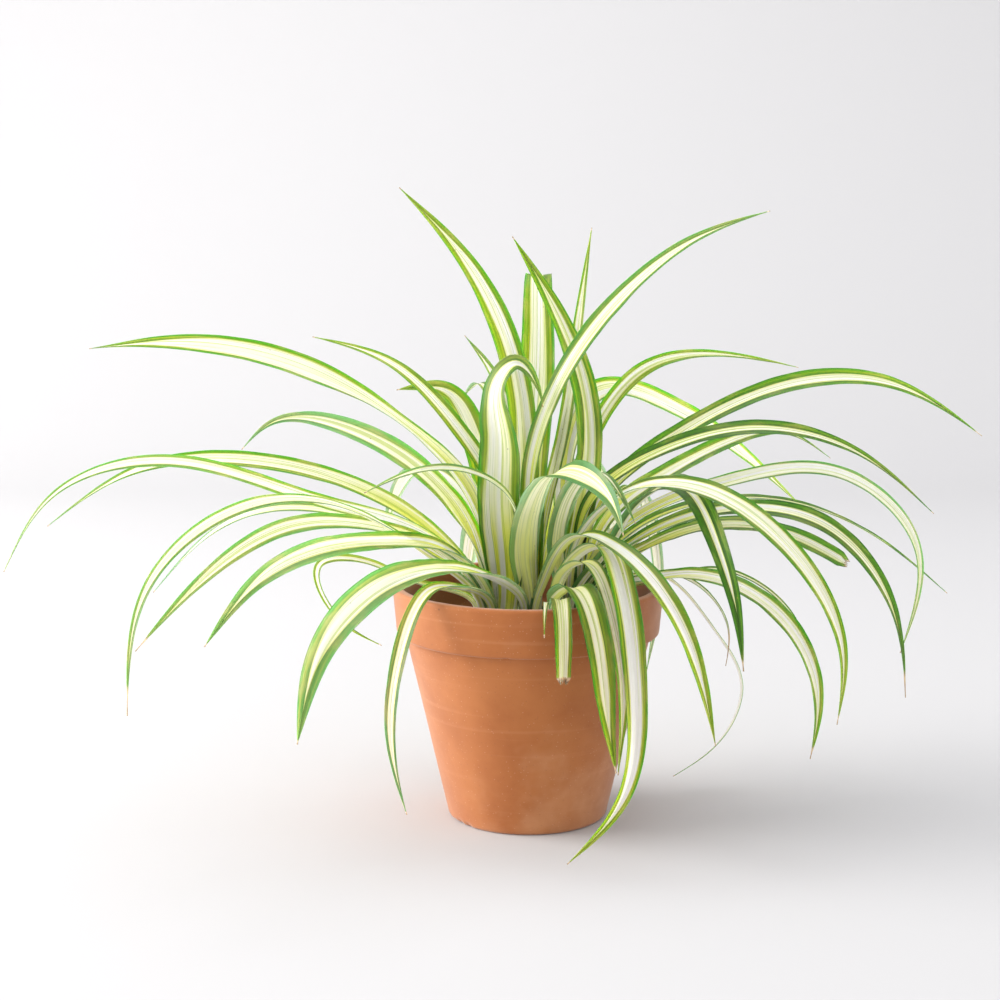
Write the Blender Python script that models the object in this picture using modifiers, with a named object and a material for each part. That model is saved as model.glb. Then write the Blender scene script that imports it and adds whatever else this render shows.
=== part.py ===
"""A potted spider plant: a clay flowerpot, its soil, the crown of short stems and every leaf.

Metres, +Z up. The origin is on the floor, on the pot's axis. -Y is the front.
"""

import math

import bmesh
import bpy
import numpy as np

MM = 0.001

# The pot
RIM_RADIUS = 75 * MM
POT_HEIGHT = 130 * MM
BASE_RADIUS = 44 * MM
BAND_HEIGHT = 26.5 * MM  # the straight band round the rim
BAND_TAPER = 2.5 * MM  # how much narrower the band is at its lower edge
BAND_STEP = 4.5 * MM  # how far the band stands out from the body
WALL = 6 * MM
BASE_THICKNESS = 8 * MM
DRAIN_RADIUS = 11 * MM
EDGE_ROUND = 2 * MM
SHOULDER_DROP = 3 * MM  # below the band, where the inside starts to step out
SHOULDER_RISE = 4 * MM  # above the band's lower edge, where it has stepped out
TURN_STEPS = 64  # facets round the pot

# The soil and the crown
SOIL_DEPTH = 25 * MM  # below the rim
TOUCH_GAP = 0.3 * MM  # left between pieces that touch
SOIL_EDGE = 6 * MM  # the height of the soil's straight upper edge
SOIL_CORNER = 4 * MM  # the slope round its foot
STEM_RADIUS = 9.5 * MM
STEM_HEIGHT = 5 * MM
STEM_TAPER = 0.93
STEM_STEPS = 28  # facets round a stump
BRIDGE_RADIUS = 1.5 * STEM_RADIUS  # the low piece that joins the stumps

# The leaves
LEAF_STATIONS = 22  # cross-sections along a leaf
LEAF_THICKNESS = 1.0 * MM  # along the midrib
CHANNEL_DEPTH = 0.13  # of the leaf's width, from the margins down to the midrib
FOOT_WIDTH = 4.6 * MM
FOOT_GAP = 0.5 * MM  # between the feet of neighbouring leaves
FIRST_FOOT_REACH = 1.2 * MM  # from the heart to the innermost leaf
FOOT_HEIGHT = POT_HEIGHT - SOIL_DEPTH + STEM_HEIGHT + 3 * TOUCH_GAP
SHEATH_HEIGHT = 7 * MM  # each leaf rises almost upright from its foot before it leans out
SHEATH_LEAN = 1 * MM
FOOT_STEP = 0.2 * MM  # how finely the feet are moved apart
TIP_WIDTH = 0.8 * MM
FULL_WIDTH_AT = 0.42  # of the length, where a leaf reaches its full width
TAPER_FROM = 0.50  # of the length, where it starts to narrow to its tip

# Where the plant's five growing points stand, seen from above
CROWNS = {
    "left": (-15 * MM, -4 * MM),
    "heart": (0 * MM, -4 * MM),
    "back": (2 * MM, 12 * MM),
    "right": (20 * MM, 4 * MM),
    "front": (13 * MM, -14 * MM),
}

# Each crown's leaves. A leaf is its name, its heading in degrees (0 is right, 90 is back, 180 is left,
# -90 is front), its width in mm, how far its face turns about its own length at even steps from foot to
# tip in degrees, and its course: reach from the heart and height above the floor in mm, with a third
# number where it swings sideways, to the left of its heading.
LEAVES = {
    "left": (
        ("heart_broad_arch", 0, 17, (85, 85, 60, 50),
         ((-2, 180, -3), (-2, 215, -3), (1, 248, -1), (9, 250, 1), (17, 228, 3))),
        ("left_inner_fork", 150, 13, (0, -50, -40),
         ((10, 188, -5), (26, 214), (65, 247), (125, 263))),
        ("left_high_long", 168, 16, (0, -40, -45, -30),
         ((15, 171, -4), (56, 218, -2), (114, 249), (191, 261), (239, 257))),
        ("left_high_short", 187, 16, (0, -45, -55, -30),
         ((19, 163), (50, 199), (87, 219), (124, 221), (140, 207))),
        ("left_far_upper", 179, 13, (0, -40, -45, -20),
         ((33, 154, -4), (77, 183, -2), (140, 199), (200, 193), (250, 162))),
        ("left_far_sweep", 194, 13, (0, -45, -50, -20),
         ((34, 154), (100, 184), (180, 210), (239, 190), (264, 149))),
        ("left_low_back", 161, 9, (0, -30, -40),
         ((41, 145), (107, 167), (165, 157), (217, 112))),
        ("left_mid_fall", 207, 13, (0, -30, -45, -30),
         ((24, 140), (72, 167), (124, 171), (173, 145), (206, 114))),
        ("left_outer_fall", 218, 9, (0, -20, -40, -20),
         ((40, 145), (106, 184), (165, 187), (215, 153), (227, 93))),
        ("left_broad_fall", 226, 14, (0, -35, -45, -30),
         ((29, 148, -4), (75, 163, -1), (124, 166), (169, 155), (202, 128))),
        ("left_rim_drop", 233, 9, (0, -10, -10, 0),
         ((38, 134), (63, 136), (86, 108), (94, 62), (82, 20))),
        ("left_rim_curl", 188, 6, (0, -20, -40, -60),
         ((42, 131), (78, 146), (99, 144), (93, 119), (66, 98))),
        ("back_left_arch", 118, 14, (0, 10, 15),
         ((26, 152), (72, 182), (122, 176), (160, 128))),
        ("back_left_low", 100, 13, (0, 0, 0),
         ((45, 140), (85, 150), (120, 118), (132, 62))),
    ),
    "heart": (
        ("tall_right_sweep", 14, 14, (0, 20, 35, 35),
         ((2, 191), (19, 244), (57, 292), (97, 320), (138, 334))),
        ("front_centre_arch", -62, 17, (0, 5, 30, 45),
         ((8, 146, -10), (27, 189, -9), (60, 201, -6), (93, 189, -4), (110, 174, -7))),
        ("front_left_thin", 205, 7, (0, -30, -40),
         ((8, 168, 4), (16, 183, 5), (32, 194), (60, 197, -4), (96, 187, 1))),
        ("left_front_fall", 240, 16, (0, -20, -35, -30),
         ((26, 134), (54, 145), (105, 155), (156, 151), (200, 126), (215, 92))),
        ("front_right_long", -46, 15, (0, 0, 10, 10),
         ((11, 131, 2), (40, 162, -1), (75, 157, -4), (122, 117, -7), (139, 68, -6))),
    ),
    "back": (
        ("tall_blunt", 88, 18, (0, 0, 0),
         ((4, 175, 2), (12, 230, -2), (28, 274, -3), (52, 298, -3), (74, 283, -5))),
        ("tall_spike", 56, 8, (0, 10, 25),
         ((8, 157, -2), (20, 207, -7), (35, 262, -7), (56, 325, -4))),
        ("tall_left", 160, 15, (-20, -60, -65, -45),
         ((2, 187, 6), (7, 244, 6), (31, 299, 5), (78, 347, 1))),
        ("left_inner_broad", 160, 17, (0, -60, -50),
         ((19, 163), (31, 203), (49, 234), (81, 234))),
        ("heart_fork", 122, 11, (0, 0, 0),
         ((10, 180), (34, 236), (72, 263))),
        ("heart_short_back", 116, 13, (0, 0, 0),
         ((14, 172), (40, 220), (66, 235), (92, 224))),
        ("back_arch", 97, 15, (0, 5, 5),
         ((28, 165), (75, 202), (130, 188), (170, 128))),
        ("back_right_arch", 70, 14, (0, 0, 0),
         ((32, 156), (80, 186), (136, 166), (168, 104))),
        ("back_middle_low", 84, 13, (0, 0, 0),
         ((40, 136), (78, 146), (106, 112), (112, 52))),
    ),
    "right": (
        ("right_tall_lean", 110, 15, (0, 0, -10, -20),
         ((4, 145, -5), (4, 203, -16), (12, 251, -12), (37, 320, 17))),
        ("right_high_back", 49, 11, (0, 20, 20, 10),
         ((12, 175, 10), (34, 231, 8), (92, 224), (170, 190), (250, 143))),
        ("right_high_thin", 28, 8, (0, 30, 30),
         ((10, 150, 6), (18, 200, 8), (50, 245, 3), (105, 253), (158, 244))),
        ("right_long_arch", 21, 12, (0, 25, 35, 30),
         ((19, 167), (66, 208), (138, 236), (210, 234), (273, 201))),
        ("right_back_arch", 40, 11, (0, 25, 35, 25),
         ((32, 161), (74, 183), (125, 198), (178, 202), (225, 182))),
        ("right_mid_arch", 1, 12, (0, 30, 40, 20),
         ((14, 173), (50, 202), (108, 216), (160, 203), (205, 168))),
        ("right_dark_fall", -52, 13, (0, 10, 30, 50),
         ((24, 150, 12), (43, 180, 20), (58, 189, 27), (90, 164, 28), (108, 125, 27), (114, 97, 26))),
        ("right_pale_hook", 11, 10, (0, 20, 35, 20),
         ((20, 143, 2), (43, 165), (95, 184), (157, 188), (209, 140), (200, 81))),
        ("right_straight_thin", 17, 8, (0, 30, 40, 40),
         ((27, 144), (75, 170), (143, 168), (195, 145), (241, 110))),
        ("right_torn", -9, 14, (0, 20, 45),
         ((40, 147), (86, 164, 3), (124, 159, 4), (154, 144, 4))),
        ("right_brown_curl", -13, 12, (0, 30, 40, 20),
         ((37, 152), (86, 173), (140, 168), (180, 120), (187, 75))),
        ("right_front_cream", -38, 14, (0, 20, 30, 20),
         ((12, 150, -4), (37, 181), (80, 191), (134, 169), (172, 115), (170, 77))),
        ("right_front_fall", -30, 14, (0, 15, 20, 20),
         ((38, 132), (82, 141), (125, 126), (149, 84), (146, 50))),
        ("right_front_thin", -20, 5, (0, 20, 30),
         ((49, 133), (84, 143), (124, 125), (142, 88))),
        ("right_brown_thin", -7, 5, (0, 10, 10),
         ((38, 134), (64, 135), (91, 106), (90, 85))),
        ("front_right_arch", -54, 14, (0, 0, 10, 20),
         ((6, 144, -8), (23, 186, -11), (45, 197, -12), (68, 172, -6))),
        ("right_back_drop", 52, 10, (0, 0, 0),
         ((34, 150), (68, 176), (90, 145), (95, 105), (84, 63))),
        ("right_thin_loop", 24, 5, (0, 10, 10, 10),
         ((28, 128), (57, 131), (96, 96), (116, 57), (102, 28), (71, 10))),
        ("back_right_fall", 72, 13, (0, 0, 10),
         ((38, 133), (84, 154), (124, 132), (144, 78))),
    ),
    "front": (
        ("front_floor_long", -68, 14, (0, 0, 0, 10),
         ((25, 153, 8), (42, 158, 12), (60, 145, 12), (87, 92, 8), (98, 40, -4), (93, 8, -32))),
        ("front_behind", -66, 9, (0, 0, 0),
         ((20, 142, -2), (38, 150, 2), (61, 130, 4), (74, 84, 5), (75, 45, 2))),
        ("front_drop", -80, 15, (0, 0, 0),
         ((28, 131, -2), (48, 139, 3), (69, 124, 8), (81, 80, 12), (85, 50, 16))),
        ("front_short_torn", -87, 10, (0, 0, 0),
         ((30, 124), (53, 134), (67, 125), (72, 95))),
        ("front_short_narrow", -95, 4, (0, 0, 0),
         ((30, 119), (55, 133), (64, 128), (67, 117))),
    ),
}


def smooth_course(points, count):
    """Points at even steps along the natural cubic spline through the given points."""
    points = np.asarray(points, float)
    steps = np.linalg.norm(np.diff(points, axis=0), axis=1)
    knots = np.concatenate([[0.0], np.cumsum(steps)])
    size = len(points)
    system = np.eye(size)
    target = np.zeros_like(points)
    for i in range(1, size - 1):
        before, after = steps[i - 1], steps[i]
        system[i, i - 1 : i + 2] = before, 2 * (before + after), after
        rise_after = (points[i + 1] - points[i]) / after
        rise_before = (points[i] - points[i - 1]) / before
        target[i] = 6 * (rise_after - rise_before)
    bend = np.linalg.solve(system, target)

    def along(places):
        i = np.clip(np.searchsorted(knots, places) - 1, 0, size - 2)
        h = steps[i][:, None]
        a = (knots[i + 1] - places)[:, None]
        b = (places - knots[i])[:, None]
        curved = bend[i] * a**3 / (6 * h) + bend[i + 1] * b**3 / (6 * h)
        straight = (points[i] / h - bend[i] * h / 6) * a + (points[i + 1] / h - bend[i + 1] * h / 6) * b
        return curved + straight

    fine = along(np.linspace(0, knots[-1], 20 * count))
    length = np.concatenate([[0.0], np.cumsum(np.linalg.norm(np.diff(fine, axis=0), axis=1))])
    even = np.linspace(0, length[-1], count)
    return np.stack([np.interp(even, length, fine[:, k]) for k in range(3)], axis=1)


def smooth_step(x):
    x = np.clip(x, 0, 1)
    return x * x * (3 - 2 * x)


def leaf_widths(width, count):
    """A leaf's width from foot to tip: narrow at the foot, full by two fifths, then a long taper."""
    t = np.linspace(0, 1, count)
    opened = FOOT_WIDTH + (width - FOOT_WIDTH) * smooth_step(t / FULL_WIDTH_AT)
    taper = 1 - np.clip((t - TAPER_FROM) / (1 - TAPER_FROM), 0, 1) ** 2
    return np.maximum(opened * taper, TIP_WIDTH)


def leaf_turns(turns, count):
    """The turn of the blade's face at each cross-section, in radians."""
    t = np.linspace(0, len(turns) - 1, count)
    i = np.minimum(t.astype(int), len(turns) - 2)
    turns = np.radians(turns)
    return turns[i] + (turns[i + 1] - turns[i]) * smooth_step(t - i)


def heading_axes(heading):
    angle = math.radians(heading)
    forward = np.array([math.cos(angle), math.sin(angle), 0.0])
    left = np.array([-math.sin(angle), math.cos(angle), 0.0])
    return forward, left


def foot_points(heart, heading, reach):
    """A few points across a leaf's foot, seen from above."""
    forward, left = heading_axes(heading)
    middle = np.array([*heart, 0.0]) + forward * reach
    return [middle + left * FOOT_WIDTH * k for k in (-0.5, -0.25, 0, 0.25, 0.5)]


def steepness(leaf):
    """How steeply a leaf leaves its crown, from the first point of its course."""
    reach, height, *_ = leaf[-1][0]
    return math.atan2(height * MM - FOOT_HEIGHT, abs(reach) * MM)


def foot_reaches(heart, leaves):
    """How far each foot is from the heart: the steepest stand nearest, each clear of those inside."""
    placed = []
    reaches = {}
    clear = LEAF_THICKNESS + FOOT_GAP
    for name, heading, *_ in sorted(leaves, key=steepness, reverse=True):
        reach = FIRST_FOOT_REACH
        feet = foot_points(heart, heading, reach)
        while any(np.linalg.norm(a - b) < clear for a in feet for b in placed):
            reach += FOOT_STEP
            feet = foot_points(heart, heading, reach)
        placed += feet
        reaches[name] = reach
    return reaches


def leaf_course(heart, foot_reach, heading, course):
    """The midrib from the foot, up its short sheath and along the leaf's course."""
    forward, left = heading_axes(heading)
    heart = np.array([*heart, 0.0])
    foot = heart + forward * foot_reach + np.array([0, 0, FOOT_HEIGHT])
    points = [foot, foot + forward * SHEATH_LEAN + np.array([0, 0, SHEATH_HEIGHT])]
    for reach, height, *swing in course:
        side = swing[0] if swing else 0
        points.append(heart + forward * reach * MM + left * side * MM + np.array([0, 0, height * MM]))
    return smooth_course(points, LEAF_STATIONS)


def leaf_rings(centre, heading, width, turns):
    """Four corners at each cross-section: left margin, midrib top, right margin, midrib underside."""
    _, level = heading_axes(heading)
    along = np.gradient(centre, axis=0)
    along /= np.linalg.norm(along, axis=1)[:, None]
    side = level - (along @ level)[:, None] * along
    side /= np.linalg.norm(side, axis=1)[:, None]
    face = np.cross(along, side)
    turn = leaf_turns(turns, len(centre))[:, None]
    side, face = side * np.cos(turn) + face * np.sin(turn), face * np.cos(turn) - side * np.sin(turn)
    widths = leaf_widths(width * MM, len(centre))[:, None]
    thick = np.minimum(LEAF_THICKNESS, widths / 2)
    margin = face * widths * CHANNEL_DEPTH
    return np.stack(
        [
            centre + side * widths / 2 + margin,
            centre + face * thick / 2,
            centre - side * widths / 2 + margin,
            centre - face * thick / 2,
        ],
        axis=1,
    )


def clear_scene():
    for thing in list(bpy.data.objects):
        bpy.data.objects.remove(thing, do_unlink=True)


def make_material(name, colour, roughness):
    material = bpy.data.materials.new(name)
    material.use_nodes = True
    shader = material.node_tree.nodes["Principled BSDF"]
    shader.inputs["Base Color"].default_value = (*colour, 1)
    shader.inputs["Roughness"].default_value = roughness
    shader.inputs["Metallic"].default_value = 0
    material.diffuse_color = (*colour, 1)
    return material


def add_object(name, mesh, collection, material):
    thing = bpy.data.objects.new(name, mesh)
    collection.objects.link(thing)
    mesh.materials.append(material)
    return thing


def mesh_from(build, name):
    mesh = bpy.data.meshes.new(name)
    shape = bmesh.new()
    build(shape)
    shape.to_mesh(mesh)
    shape.free()
    return mesh


def rounded(corner, before, after, radius, steps=4):
    """A few points that round a profile's corner."""
    corner, before, after = (np.asarray(p, float) for p in (corner, before, after))
    start = corner + (before - corner) / np.linalg.norm(before - corner) * radius
    end = corner + (after - corner) / np.linalg.norm(after - corner) * radius
    t = np.linspace(0, 1, steps)[:, None]
    return list((1 - t) ** 2 * start + 2 * t * (1 - t) * corner + t**2 * end)


def outline_mesh(name, outline, radii):
    """The outline of a turned ring, from (radius, height) points, with its corners rounded."""
    points = []
    count = len(outline)
    for i, radius in enumerate(radii):
        corner, before, after = outline[i], outline[i - 1], outline[(i + 1) % count]
        points += rounded(corner, before, after, radius) if radius else [np.asarray(corner, float)]

    def build(shape):
        corners = [shape.verts.new((x, 0, z)) for x, z in points]
        for a, b in zip(corners, corners[1:] + corners[:1]):
            shape.edges.new((a, b))

    return mesh_from(build, name)


def add_turned(name, outline, radii, collection, material):
    thing = add_object(name, outline_mesh(name, outline, radii), collection, material)
    screw = thing.modifiers.new("turn", "SCREW")
    screw.steps = TURN_STEPS
    screw.render_steps = TURN_STEPS
    screw.use_merge_vertices = True
    screw.merge_threshold = 0.01 * MM
    screw.use_smooth_shade = True
    return thing


def outer_radius_at(height):
    """The pot body's outer radius below the band."""
    share = height / (POT_HEIGHT - BAND_HEIGHT)
    return BASE_RADIUS + (RIM_RADIUS - BAND_TAPER - BAND_STEP - BASE_RADIUS) * share


def add_pot(collection):
    clay = make_material("fired_clay", (0.55, 0.22, 0.10), 0.75)
    band_bottom = POT_HEIGHT - BAND_HEIGHT
    shoulder = band_bottom - SHOULDER_DROP
    outline = [
        (RIM_RADIUS, POT_HEIGHT),
        (RIM_RADIUS - BAND_TAPER, band_bottom),
        (outer_radius_at(band_bottom), band_bottom),
        (BASE_RADIUS, 0),
        (DRAIN_RADIUS, 0),
        (DRAIN_RADIUS, BASE_THICKNESS),
        (outer_radius_at(BASE_THICKNESS) - WALL, BASE_THICKNESS),
        (outer_radius_at(shoulder) - WALL, shoulder),
        (RIM_RADIUS - WALL - BAND_TAPER / 2, band_bottom + SHOULDER_RISE),
        (RIM_RADIUS - WALL, POT_HEIGHT),
    ]
    radii = [EDGE_ROUND, EDGE_ROUND, 0, EDGE_ROUND, 0, 0, EDGE_ROUND, EDGE_ROUND, EDGE_ROUND, EDGE_ROUND]
    return add_turned("flowerpot", outline, radii, collection, clay)


def add_soil(collection):
    """The soil follows the pot's inside, a touch clear of it, and covers the drain hole."""
    earth = make_material("potting_soil", (0.035, 0.022, 0.015), 0.95)
    top = POT_HEIGHT - SOIL_DEPTH
    clearance = WALL + 2 * TOUCH_GAP
    bottom = BASE_THICKNESS + TOUCH_GAP
    upper = outer_radius_at(top - SOIL_EDGE) - clearance
    profile = [
        (outer_radius_at(bottom) - clearance - SOIL_CORNER, bottom),
        (outer_radius_at(bottom + SOIL_CORNER) - clearance, bottom + SOIL_CORNER),
        (upper, top - SOIL_EDGE),
        (upper, top),
    ]

    def build(shape):
        rings = []
        for radius, height in profile:
            angles = [math.tau * k / TURN_STEPS for k in range(TURN_STEPS)]
            ring = [shape.verts.new((radius * math.cos(a), radius * math.sin(a), height)) for a in angles]
            rings.append(ring)
        join_rings(shape, rings)

    return add_object("potting_soil", mesh_from(build, "potting_soil"), collection, earth)


def join_rings(shape, rings):
    """Skins a stack of equal rings and closes both ends."""
    count = len(rings[0])
    for lower, upper in zip(rings, rings[1:]):
        for k in range(count):
            m = (k + 1) % count
            shape.faces.new((lower[k], lower[m], upper[m], upper[k]))
    shape.faces.new(rings[0][::-1])
    shape.faces.new(rings[-1])
    bmesh.ops.recalc_face_normals(shape, faces=shape.faces)


def add_crown(collection, joined_in):
    """The short stems at the soil's surface: one low stump under each heart, joined by a lower bridge."""
    pale = make_material("pale_stem", (0.62, 0.66, 0.36), 0.6)
    bottom = POT_HEIGHT - SOIL_DEPTH + TOUCH_GAP

    def stump(name, place, radius, height, group):
        def build(shape):
            bmesh.ops.create_cone(
                shape,
                cap_ends=True,
                segments=STEM_STEPS,
                radius1=radius,
                radius2=radius * STEM_TAPER,
                depth=height,
            )
            bmesh.ops.translate(shape, verts=shape.verts, vec=(*place, bottom + height / 2))

        return add_object(name, mesh_from(build, name), group, pale)

    first, *others = CROWNS.values()
    middle = tuple(np.mean(list(CROWNS.values()), axis=0))
    crown = stump("plant_crown", first, STEM_RADIUS, STEM_HEIGHT, collection)
    for place in others:
        union(crown, stump("stump", place, STEM_RADIUS, STEM_HEIGHT, joined_in))
    union(crown, stump("bridge", middle, BRIDGE_RADIUS, STEM_HEIGHT / 2, joined_in))
    return crown


def union(thing, other):
    other.hide_render = True
    other.display_type = "WIRE"
    joining = thing.modifiers.new("join", "BOOLEAN")
    joining.operation = "UNION"
    joining.solver = "EXACT"
    joining.object = other


def add_leaf(name, rings, collection, material):
    def build(shape):
        corners = [[shape.verts.new(tuple(p)) for p in ring] for ring in rings]
        join_rings(shape, corners)

    mesh = mesh_from(build, name)
    mesh.shade_smooth()
    return add_object(name, mesh, collection, material)


def add_leaves(collection):
    blade = make_material("striped_leaf", (0.42, 0.56, 0.16), 0.45)
    for crown, leaves in LEAVES.items():
        heart = CROWNS[crown]
        reaches = foot_reaches(heart, leaves)
        for name, heading, width, turns, course in leaves:
            centre = leaf_course(heart, reaches[name], heading, course)
            add_leaf(name, leaf_rings(centre, heading, width, turns), collection, blade)


def build_plant():
    clear_scene()
    plant = bpy.data.collections.new("potted_spider_plant")
    joined_in = bpy.data.collections.new("joined_in")
    for collection in (plant, joined_in):
        bpy.context.scene.collection.children.link(collection)
    add_pot(plant)
    add_soil(plant)
    add_crown(plant, joined_in)
    add_leaves(plant)


build_plant()
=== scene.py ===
# %% [markdown]
# # A potted spider plant
# The setting comes first: a camera, a white sheet and soft light. Then the plant is rebuilt in four steps:
# the clay pot, the soil, the crown of short stems, and the leaves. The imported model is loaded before
# anything else. It fixes where everything goes, so each piece made here lies about where its solid in that
# model lies, and takes that solid's place.

# %% Load the frame
import math

import bmesh
import bpy
import numpy as np
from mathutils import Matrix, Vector, noise


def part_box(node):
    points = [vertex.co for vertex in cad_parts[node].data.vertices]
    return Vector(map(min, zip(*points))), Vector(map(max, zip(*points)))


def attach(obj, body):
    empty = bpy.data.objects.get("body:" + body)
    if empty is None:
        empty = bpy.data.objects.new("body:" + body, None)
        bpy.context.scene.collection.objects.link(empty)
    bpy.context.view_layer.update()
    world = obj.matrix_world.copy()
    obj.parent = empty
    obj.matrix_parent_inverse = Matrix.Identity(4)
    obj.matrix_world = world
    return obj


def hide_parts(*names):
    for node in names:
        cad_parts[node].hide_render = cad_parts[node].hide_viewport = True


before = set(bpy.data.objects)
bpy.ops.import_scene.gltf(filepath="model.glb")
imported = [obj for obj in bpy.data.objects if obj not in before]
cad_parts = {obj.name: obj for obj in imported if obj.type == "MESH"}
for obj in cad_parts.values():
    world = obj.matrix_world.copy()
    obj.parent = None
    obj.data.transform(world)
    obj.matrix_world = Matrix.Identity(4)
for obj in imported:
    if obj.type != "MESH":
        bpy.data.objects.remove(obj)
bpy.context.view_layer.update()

MM = 0.001

# %% [markdown]
# The camera stands a metre in front of the pot, near the height of the tallest leaves, and looks slightly
# down. A long lens keeps the pot's sides nearly straight, as they look to someone across a table.

# %% Place the camera
CAMERA_PLACE = (-0.0155, -1.0, 0.3207)
CAMERA_DROP = 0.143  # radians below the horizon
LENS_LENGTH = 66.2  # mm
SENSOR_WIDTH = 36  # mm
lens = bpy.data.cameras.new("camera")
lens.lens = LENS_LENGTH
lens.sensor_width = SENSOR_WIDTH
camera = bpy.data.objects.new("camera", lens)
camera.location = CAMERA_PLACE
camera.rotation_euler = (math.pi / 2 - CAMERA_DROP, 0, 0)
bpy.context.scene.collection.objects.link(camera)
bpy.context.scene.camera = camera
bpy.context.scene.view_settings.view_transform = "Standard"
print("camera at", CAMERA_PLACE)

# %% [markdown]
# A material is a net of nodes that ends in one shader. Written out in full, every node takes several lines,
# so a small class gives short names to the kinds of node that clay, soil and leaves need. A colour is given
# as it looks on screen, and turned into the linear values that the shader works in.

# %% Helpers for materials
def paint(red, green, blue):
    """A colour given as it looks on screen, 0 to 255, as the shader wants it."""
    shares = [value / 255 for value in (red, green, blue)]
    return tuple(s / 12.92 if s <= 0.04045 else ((s + 0.055) / 1.055) ** 2.4 for s in shares) + (1.0,)


class Finish:
    """A node material with short names for the nodes it is built from."""

    def __init__(self, name, roughness=0.5, specular=0.5):
        self.material = bpy.data.materials.new(name)
        self.material.use_nodes = True
        self.nodes = self.material.node_tree.nodes
        self.links = self.material.node_tree.links
        self.shader = self.nodes["Principled BSDF"]
        self.shader.inputs["Roughness"].default_value = roughness
        self.shader.inputs["Specular IOR Level"].default_value = specular

    def put(self, socket, value):
        """Links a node's output to a socket, or sets it to a fixed value. None leaves it as it is."""
        if isinstance(value, bpy.types.NodeSocket):
            self.links.new(value, socket)
        elif value is not None:
            socket.default_value = value

    def math(self, operation, first, second=None):
        node = self.nodes.new("ShaderNodeMath")
        node.operation = operation
        for socket, value in zip(node.inputs, (first, second)):
            self.put(socket, value)
        return node.outputs[0]

    def times(self, first, second):
        return self.math("MULTIPLY", first, second)

    def blend(self, share, below, above):
        node = self.nodes.new("ShaderNodeMix")
        node.data_type = "RGBA"
        self.put(node.inputs[0], share)
        self.put(node.inputs[6], below)
        self.put(node.inputs[7], above)
        return node.outputs[2]

    def rise(self, value, start, end, low=0.0, high=1.0):
        """A smooth climb from low to high as the value goes from start to end."""
        node = self.nodes.new("ShaderNodeMapRange")
        node.interpolation_type = "SMOOTHSTEP"
        for socket, number in zip(node.inputs, (value, start, end, low, high)):
            self.put(socket, number)
        return node.outputs[0]

    def layer(self, tone, value, start, end, most, colour):
        """A colour laid over a tone as the value goes from start to end, up to a share of most."""
        return self.blend(self.rise(value, start, end, 0, most), tone, colour)

    def noise(self, place, scale, detail=2.0, rough=0.5):
        node = self.nodes.new("ShaderNodeTexNoise")
        self.put(node.inputs["Vector"], place)
        self.put(node.inputs["Scale"], scale)
        self.put(node.inputs["Detail"], detail)
        self.put(node.inputs["Roughness"], rough)
        return node.outputs["Fac"]

    def spots(self, place, scale):
        """The distance to the nearest of many scattered points."""
        node = self.nodes.new("ShaderNodeTexVoronoi")
        self.put(node.inputs["Vector"], place)
        self.put(node.inputs["Scale"], scale)
        return node.outputs["Distance"]

    def place(self):
        """The point on the object itself, in metres."""
        return self.nodes.new("ShaderNodeTexCoord").outputs["Object"]

    def parts(self, vector):
        node = self.nodes.new("ShaderNodeSeparateXYZ")
        self.put(node.inputs[0], vector)
        return node.outputs

    def joined(self, x, y, z=0.0):
        node = self.nodes.new("ShaderNodeCombineXYZ")
        for socket, value in zip(node.inputs, (x, y, z)):
            self.put(socket, value)
        return node.outputs[0]

    def stretched(self, place, scales):
        """A place scaled by a different amount along each axis."""
        return self.joined(*[self.times(part, scale) for part, scale in zip(self.parts(place), scales)])

    def measure(self, name):
        """A number stored on the mesh's points."""
        node = self.nodes.new("ShaderNodeAttribute")
        node.attribute_name = name
        return node.outputs["Fac"]

    def bump(self, height, distance, strength, under=None):
        node = self.nodes.new("ShaderNodeBump")
        self.put(node.inputs["Height"], height)
        self.put(node.inputs["Distance"], distance)
        self.put(node.inputs["Strength"], strength)
        self.put(node.inputs["Normal"], under)
        return node.outputs[0]

    def colour(self, value):
        self.put(self.shader.inputs["Base Color"], value)

    def roughness(self, value):
        self.put(self.shader.inputs["Roughness"], value)

    def normal(self, value):
        self.put(self.shader.inputs["Normal"], value)


# %% Helpers for meshes
def new_piece(name, points, faces, material):
    """A smooth mesh object made from an array of points and a list of faces."""
    mesh = bpy.data.meshes.new(name)
    mesh.from_pydata([tuple(p) for p in points], [], faces)
    mesh.materials.append(material)
    mesh.shade_smooth()
    piece = bpy.data.objects.new(name, mesh)
    bpy.context.scene.collection.objects.link(piece)
    return piece


def grid_faces(rows, columns, closed=False):
    """The faces of a sheet of points laid out in rows. A closed sheet joins its last column to its first."""
    faces = []
    for i in range(rows - 1):
        for j in range(columns if closed else columns - 1):
            k = (j + 1) % columns
            faces.append((i * columns + j, i * columns + k, (i + 1) * columns + k, (i + 1) * columns + j))
    return faces


# %% [markdown]
# A white sheet that curves up behind the plant makes the floor and the background in one, so no line
# crosses the picture. It is a flat strip, bent up through a quarter circle. Its own colour is plain and pale.

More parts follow.
